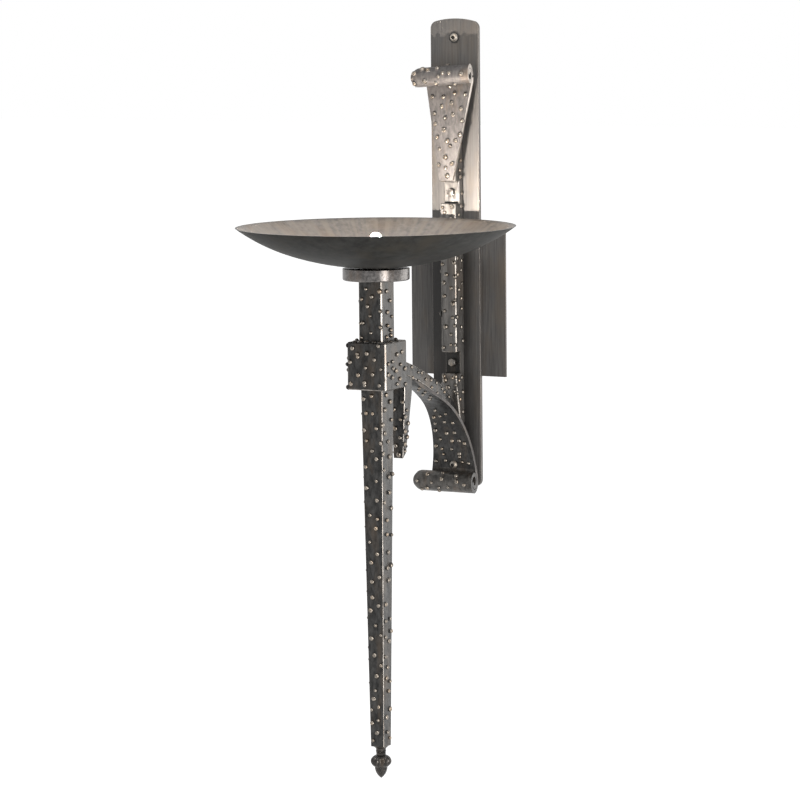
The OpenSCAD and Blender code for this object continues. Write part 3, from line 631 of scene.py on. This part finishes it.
# Neck: a straight square tube of the same steel that stands up out of the collar. The dish's
# seat fits into its top with a square spigot.
dress("torch_neck", forged_steel, corner=0.0005, corner_skin=rubbed_corner,
      shaped=lambda neck: rub_corners(neck, flat=0.0012))
neck_side = [(-209.7, 29.1), (-202.1, 17.8), (-208.2, 4.9), (-197.5, -1.1), (-208.4, -10.6),
             (-201.1, -16.4), (-200.3, -22.5), (-210.4, -23.9)]
raise_points("torch_neck", 71, {
    "front": [(-10.5, 20), (2.6, 23.3), (0.3, 1), (-9, -7.3), (1.1, -18.7), (-11.9, -24.5),
              (13, 29.7), (13.3, 7), (13.6, -11.6), (-12.6, -7.8), (-3, 12), (-5, 32)],
    "back": strewn(72, 0, 11, -26, 34, 5),
    "right": neck_side,
    "left": mirrored(neck_side, 73) + [(-216, 17)]})


# Stem: a long square tube of black forged steel that hangs from the collar and tapers to its
# foot, where a welded plug holds the finial's stud.
dress("torch_stem", forged_steel, corner=0.0003, corner_skin=rubbed_corner,
      shaped=lambda stem: rub_corners(stem, flat=0.0004))
dress("stem_plug", forged_steel, corner=0.0003)
stem_side = [(-209.9, -90.8), (-200.6, -99.5), (-213.7, -107.9), (-197.9, -120.9),
             (-205.6, -145.5), (-202.2, -163.4), (-203.2, -187), (-202.6, -205.2),
             (-208.4, -236.9), (-208.6, -253.6), (-205, -275.1), (-206.9, -293.1), (-218.4, -125),
             (-217.6, -158.6), (-215.8, -177.6), (-213.3, -135.2), (-214.6, -215.7),
             (-204.2, -307.8), (-211.5, -335.2), (-211.5, -355), (-211.1, -374), (-212.3, -397.1),
             (-206.6, -410.1), (-208.6, -422.6), (-204.1, -438.6), (-208.9, -468.9),
             (-206.7, -486.8), (-197.2, -255.5), (-197.2, -224.3), (-195.5, -184.5),
             (-197.1, -291.1), (-200, -353.9), (-198.1, -368.6), (-202.4, -379.8),
             (-200.5, -427.5), (-200.4, -460.4), (-200.5, -494.8)]
EDGE_Y, TAPER = -217.3, 0.0137
stem_edge = [(EDGE_Y + (-85 - z) * TAPER, z, 0.7) for z in
             (-113, -187, -216, -245, -272, -296, -321, -352, -387, -401, -429)]
raise_points("torch_stem", 81, {
    "front": [(0.3, -91.6), (-10.7, -95.4), (-7, -111.9), (1.2, -112.2), (5.9, -129.1),
              (-10.4, -131.9), (-7.3, -144), (11.4, -146), (-0.2, -155.6), (5.1, -164.8),
              (-9, -174.6), (4.7, -190.5), (-8.7, -199.2), (4.9, -212.9), (-4.3, -230.9),
              (5.5, -234.8), (3.2, -245.8), (-5, -262.2), (4.5, -275.9), (-3.7, -286.3),
              (6.9, -302.8), (-3.1, -308.8), (-3, -327.2), (4.9, -336.5), (-5.6, -342.7),
              (0.8, -360), (-5.1, -375.7), (7.4, -371), (-1.5, -395.4), (7, -406.9),
              (1.2, -419.6), (-0.9, -437), (-3.5, -447), (2.7, -456.4), (-6.4, -460.4),
              (2.3, -472.1), (-6.2, -475.9), (0.2, -487.2), (-5.2, -496.6)],
    "back": strewn(83, 0, 9, -270, -90, 8) + strewn(84, 0, 5, -496, -270, 8),
    "right": stem_side,
    "left": stem_edge + strewn(85, -204, 7, -280, -92, 9) + strewn(86, -204, 4, -496, -280, 9)})
bpy.data.objects.remove(point)


# Finial: a turned cup and waist, a fluted bulb and a cone tip of dark bronze, drawn up against
# the stem by a stud inside. Its skin is glossier and browner than the bars'.
TORCH_Y = -0.206
BULB_TOP, BULB_H, BULB_R, WAIST_R = -0.5146, 0.014, 0.0122, 0.0057
TIP_TOP, TIP_H, TIP_R, TIP_END_R, UNDER_SCALES = BULB_TOP - BULB_H, 0.0135, 0.0074, 0.0004, 0.0002
COLUMNS, RINGS, FLUTES = 96, 12, 16
GROOVES = ((0.94, (2, 3, 4), range(2, 11)), (0.955, (3,), range(1, 12)))
ROWS, FIRST_ROW, ROW_STEP = 8, 0.06, 0.115
SCALE_LENGTH, SCALE_WIDTH, SCALE_HEIGHT, SCALE_ROOT, OVERLAP = 0.0017, 0.0031, 0.0013, 0.0001, 1.05

dark_bronze = patina("dark_bronze", (0.018, 0.017, 0.016), (0.07, 0.064, 0.058),
                     (0.1, 0.075, 0.053), roughness=0.24, metal=0.75, streaks=240,
                     stretch=(1, 1, 0.5), stains=110, relief=0.25)
dress("finial_cup", dark_bronze, corner=0.00025)


def turned(name, outline, columns):
    """A closed turned shape, drawn out ring by ring from its top."""
    bpy.ops.object.select_all(action="DESELECT")
    radius, height = outline[0]
    bpy.ops.mesh.primitive_circle_add(vertices=columns, radius=radius, fill_type="NGON",
                                      location=(0, TORCH_Y, height))
    piece = bpy.context.object
    piece.name = name
    bpy.ops.object.transform_apply(location=True, rotation=True, scale=True)
    bpy.ops.object.mode_set(mode="EDIT")
    bpy.ops.mesh.select_all(action="SELECT")
    for wide, low in outline[1:]:
        bpy.ops.mesh.extrude_region_move(TRANSFORM_OT_translate={"value": (0, 0, low - height)})
        bpy.ops.transform.resize(value=(wide / radius, wide / radius, 1),
                                 center_override=(0, TORCH_Y, low))
        radius, height = wide, low
    bpy.ops.mesh.select_all(action="SELECT")
    bpy.ops.mesh.normals_make_consistent(inside=False)
    bpy.ops.object.mode_set(mode="OBJECT")
    return piece


def tip_radius(t):
    """The cone tip's radius at this share of its height, from the bulb down."""
    return TIP_R * (1 - t * t) ** 0.8


low_angle, high_angle = math.asin(TIP_R / BULB_R), math.asin(WAIST_R / BULB_R)
lift = BULB_H / (math.cos(low_angle) + math.cos(high_angle))
bulb_line = []
for i in range(RINGS + 1):
    a = high_angle + (math.pi - low_angle - high_angle) * i / RINGS
    bulb_line.append((BULB_R * math.sin(a), BULB_TOP + lift * (math.cos(a) - math.cos(high_angle))))
tip_line = [(tip_radius(t) - UNDER_SCALES, TIP_TOP - TIP_H * t)
            for t in (0.05, 0.2, 0.35, 0.5, 0.65, 0.78, 0.88, 0.95)]
tip_line.append((TIP_END_R, TIP_TOP - TIP_H))
bulb = turned("finial_bulb_dressed", bulb_line + tip_line, COLUMNS)
for depth, columns_in, rings_in in GROOVES:
    bpy.ops.object.mode_set(mode="EDIT")
    bpy.ops.mesh.select_mode(type="VERT")
    bpy.ops.mesh.select_all(action="DESELECT")
    bpy.ops.object.mode_set(mode="OBJECT")
    for corner in bulb.data.vertices:
        turned_by = math.atan2(corner.co.y - TORCH_Y, corner.co.x) / (2 * math.pi) * COLUMNS
        ring = min(range(RINGS + 1), key=lambda k: abs(bulb_line[k][1] - corner.co.z))
        in_ring = abs(bulb_line[ring][1] - corner.co.z) < SAME_PLACE and ring in rings_in
        corner.select = in_ring and round(turned_by) % (COLUMNS // FLUTES) in columns_in
    bpy.ops.object.mode_set(mode="EDIT")
    bpy.ops.transform.resize(value=(depth, depth, 1), center_override=(0, TORCH_Y, 0))
    bpy.ops.object.mode_set(mode="OBJECT")
bpy.ops.object.shade_smooth_by_angle(angle=math.radians(50))

bpy.ops.object.select_all(action="DESELECT")
bpy.ops.mesh.primitive_cone_add(vertices=4, radius1=1, radius2=0, depth=0.6)
scale = bpy.context.object
bpy.ops.object.mode_set(mode="EDIT")
bpy.ops.mesh.select_all(action="SELECT")
bpy.ops.mesh.bevel(offset=0.09, segments=1)
bpy.ops.object.mode_set(mode="OBJECT")
scales = [bulb]
for row in range(ROWS):
    t = FIRST_ROW + ROW_STEP * row
    ring_r = tip_radius(t)
    steep = math.atan2(TIP_H * ROW_STEP, ring_r - tip_radius(t + ROW_STEP))
    count = round(2 * math.pi * ring_r / SCALE_WIDTH)
    for k in range(count):
        copy = scale.copy()
        copy.data = scale.data.copy()
        around = Matrix.Rotation(2 * math.pi * (k + 0.5 * (row % 2)) / count, 4, "Z")
        lean = Matrix.Rotation(math.pi - steep, 4, "Y")
        place = Matrix.Translation((ring_r - SCALE_ROOT, 0, TIP_TOP - TIP_H * t))
        half = math.pi * ring_r / count
        shape = Matrix.Diagonal((SCALE_LENGTH, half * OVERLAP, SCALE_HEIGHT, 1))
        copy.data.transform(Matrix.Translation((0, TORCH_Y, 0)) @ around @ place @ lean @ shape)
        bpy.context.scene.collection.objects.link(copy)
        scales.append(copy)
bpy.data.objects.remove(scale)
bpy.ops.object.select_all(action="DESELECT")
for part in scales:
    part.select_set(True)
bpy.context.view_layer.objects.active = bulb
bpy.ops.object.join()
bulb.data.materials.append(dark_bronze)
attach(bulb, "sconce")
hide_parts("finial_bulb")
dress("finial_stud", bright_steel, corner=0.0003)


# Seat: a turned steel disc under the dish, with a square spigot in the neck. It is left the
# brightest piece of the sconce.
seat_steel = patina("seat_steel", (0.08, 0.076, 0.074), (0.2, 0.19, 0.185), (0.15, 0.12, 0.1),
                    roughness=0.27, metal=0.9, streaks=260, stains=60, relief=0.3)
seat_edge = patina("seat_edge", (0.3, 0.28, 0.26), (0.6, 0.56, 0.52), (0.34, 0.29, 0.24),
                   roughness=0.3, metal=0.9, streaks=300, stains=60, relief=0.2)
dress("dish_seat", seat_steel, corner=0.0005, corner_skin=seat_edge)


# Dish: a shallow bowl spun from steel sheet and screwed to its seat. Outside it is matt and
# nearly black, inside it is warm grey with stains raked outwards, and its rim is rubbed.
dish_outside = patina("dish_outside", (0.03, 0.03, 0.0285), (0.063, 0.0625, 0.059),
                      (0.068, 0.06, 0.048), roughness=0.5, metal=0.0, streaks=90, stains=18,
                      relief=0.2, shine=0.04)
dish_inside = patina("dish_inside", (0.082, 0.077, 0.073), (0.15, 0.141, 0.133),
                     (0.125, 0.092, 0.064), roughness=0.42, metal=0.5, streaks=160, stains=22,
                     relief=0.2)
tree = dish_inside.node_tree
place = tree.nodes.new("ShaderNodeTexCoord")
from_torch = tree.nodes.new("ShaderNodeMapping")
from_torch.inputs["Location"].default_value = (0, -TORCH_Y, 0)
tree.links.new(place.outputs["Object"], from_torch.inputs["Vector"])
round_torch = tree.nodes.new("ShaderNodeTexGradient")
round_torch.gradient_type = "RADIAL"
tree.links.new(from_torch.outputs[0], round_torch.inputs["Vector"])
raked = tree.nodes.new("ShaderNodeTexNoise")
raked.noise_dimensions = "1D"
raked.inputs["Scale"].default_value = 110
raked.inputs["Detail"].default_value = 6
tree.links.new(round_torch.outputs["Fac"], raked.inputs["W"])
overlay(dish_inside, between(tree, raked.outputs["Fac"], 0.4, 0.64, 0, 0.55),
        (0.17, 0.15, 0.128))
dish_rim = patina("dish_rim", (0.07, 0.063, 0.056), (0.17, 0.153, 0.136), (0.13, 0.1, 0.075),
                  roughness=0.34, metal=0.8, streaks=260, stains=60, relief=0.2)
dish = dress("dish", dish_outside, corner=0.0006, corner_skin=dish_rim)
dish.data.materials.append(dish_inside)
for side in dish.data.polygons:
    if side.material_index == OWN_SKIN and side.normal.z > 0:
        side.material_index = ADDED_SKIN


# Lamp holder: pressed ceramic with two ears, screwed through the dish to the seat. Two sprung
# brass strips inside it grip the lamp's pins.
porcelain = patina("porcelain", (0.74, 0.72, 0.68), (0.9, 0.88, 0.84), (0.8, 0.76, 0.68),
                   roughness=0.5, metal=0.0, streaks=300, stains=90, relief=0.2)
spring_brass = patina("spring_brass", (0.6, 0.45, 0.2), (0.8, 0.64, 0.34), (0.5, 0.34, 0.16),
                      roughness=0.3, metal=1.0, streaks=400, stretch=(1, 1, 0.1), stains=90,
                      relief=0.1)
dress("lamp_holder", porcelain, corner=0.0003)
dress("holder_contacts", spring_brass, corner=0.0001)
dress("holder_screws", bright_steel, corner=0.0002)


# Lamp: a clear glass capsule pinched flat round two looped wires, with a tungsten coil that
# glows. It pulls up out of the holder, and its light rides with it.
clear_glass = bpy.data.materials.new("clear_glass")
clear_glass.use_nodes = True
tree = clear_glass.node_tree
shader = tree.nodes["Principled BSDF"]
shader.inputs["Base Color"].default_value = (1.0, 0.98, 0.94, 1)
shader.inputs["Alpha"].default_value = 0.3
shader.inputs["Emission Color"].default_value = (1.0, 0.92, 0.8, 1)
shader.inputs["Emission Strength"].default_value = 1.0
tree.links.new(between(tree, noise(tree, 400, (1, 1, 1), detail=3), 0.3, 0.7, 0.03, 0.09),
               shader.inputs["Roughness"])
dress("lamp_glass", clear_glass, corner=0.0003, body="lamp")
pin_wire = patina("pin_wire", (0.55, 0.53, 0.5), (0.8, 0.78, 0.74), (0.5, 0.46, 0.4),
                  roughness=0.25, metal=1.0, streaks=500, stretch=(1, 1, 0.2), stains=200,
                  relief=0.1)
dress("lamp_pins", pin_wire, corner=0.0001, body="lamp")

low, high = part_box("lamp_filament")
TURNS, COIL_R, WIRE_R = 9, 0.00072, 0.00016
bpy.ops.object.select_all(action="DESELECT")
bpy.ops.mesh.primitive_circle_add(vertices=8, radius=WIRE_R, rotation=(math.pi / 2, 0, 0),
                                  location=(COIL_R, 0, 0))
coil = bpy.context.object
coil.name = "lamp_filament_coil"
bpy.ops.object.transform_apply(location=True, rotation=True, scale=True)
wound = coil.modifiers.new("wound", "SCREW")
wound.screw_offset = (high[2] - low[2] - 2 * WIRE_R) / TURNS
wound.iterations = TURNS
wound.steps = wound.render_steps = 16
bpy.ops.object.modifier_apply(modifier=wound.name)
bpy.ops.object.mode_set(mode="EDIT")
bpy.ops.mesh.select_all(action="DESELECT")
bpy.ops.mesh.select_mode(type="EDGE")
bpy.ops.mesh.select_non_manifold()
bpy.ops.mesh.edge_face_add()
bpy.ops.mesh.select_all(action="SELECT")
bpy.ops.mesh.normals_make_consistent(inside=False)
bpy.ops.transform.translate(value=(0, TORCH_Y, low[2] + WIRE_R))
bpy.ops.object.mode_set(mode="OBJECT")
bpy.ops.object.shade_smooth()
tungsten = patina("tungsten", (0.8, 0.7, 0.5), (1.0, 0.85, 0.6), (0.9, 0.7, 0.45), roughness=0.4,
                  metal=1.0, streaks=900, stains=300, relief=0.1)
glow = tungsten.node_tree.nodes["Principled BSDF"]
glow.inputs["Emission Color"].default_value = (1.0, 0.8, 0.5, 1)
glow.inputs["Emission Strength"].default_value = 12
coil.data.materials.append(tungsten)
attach(coil, "lamp")
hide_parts("lamp_filament")

light = bpy.data.lights.new("capsule_light", "POINT")
light.energy, light.color, light.shadow_soft_size = 11.5, (1.0, 0.91, 0.82), 0.004
lamp_light = bpy.data.objects.new("capsule_light", light)
lamp_light.location = (0, TORCH_Y, high[2])
bpy.context.scene.collection.objects.link(lamp_light)
lamp_light.parent = coil


# Wall screws: two round-headed steel screws with hexagon sockets, driven through the strip
# into the wall. The upper one is set on a black rubber washer.
SCREW_HEIGHTS, SOCKET_R, HEAD_BASE = (0.315, -0.196), 0.0023, -0.0085
heads = dress("wall_screws", bright_steel, corner=0.0004)
heads.data.materials.append(painted_recess_shade)
# The heads' sockets take the painted shade.
for side in heads.data.polygons:
    from_axis = min(math.hypot(side.center.x, side.center.z - up) for up in SCREW_HEIGHTS)
    if from_axis < SOCKET_R and side.center.y < HEAD_BASE:
        side.material_index = 1
black_rubber = patina("black_rubber", (0.02, 0.02, 0.02), (0.05, 0.048, 0.046),
                      (0.06, 0.05, 0.04), roughness=0.6, metal=0.0, streaks=500, stains=200,
                      relief=0.3)
dress("screw_washer", black_rubber, corner=0.0003)
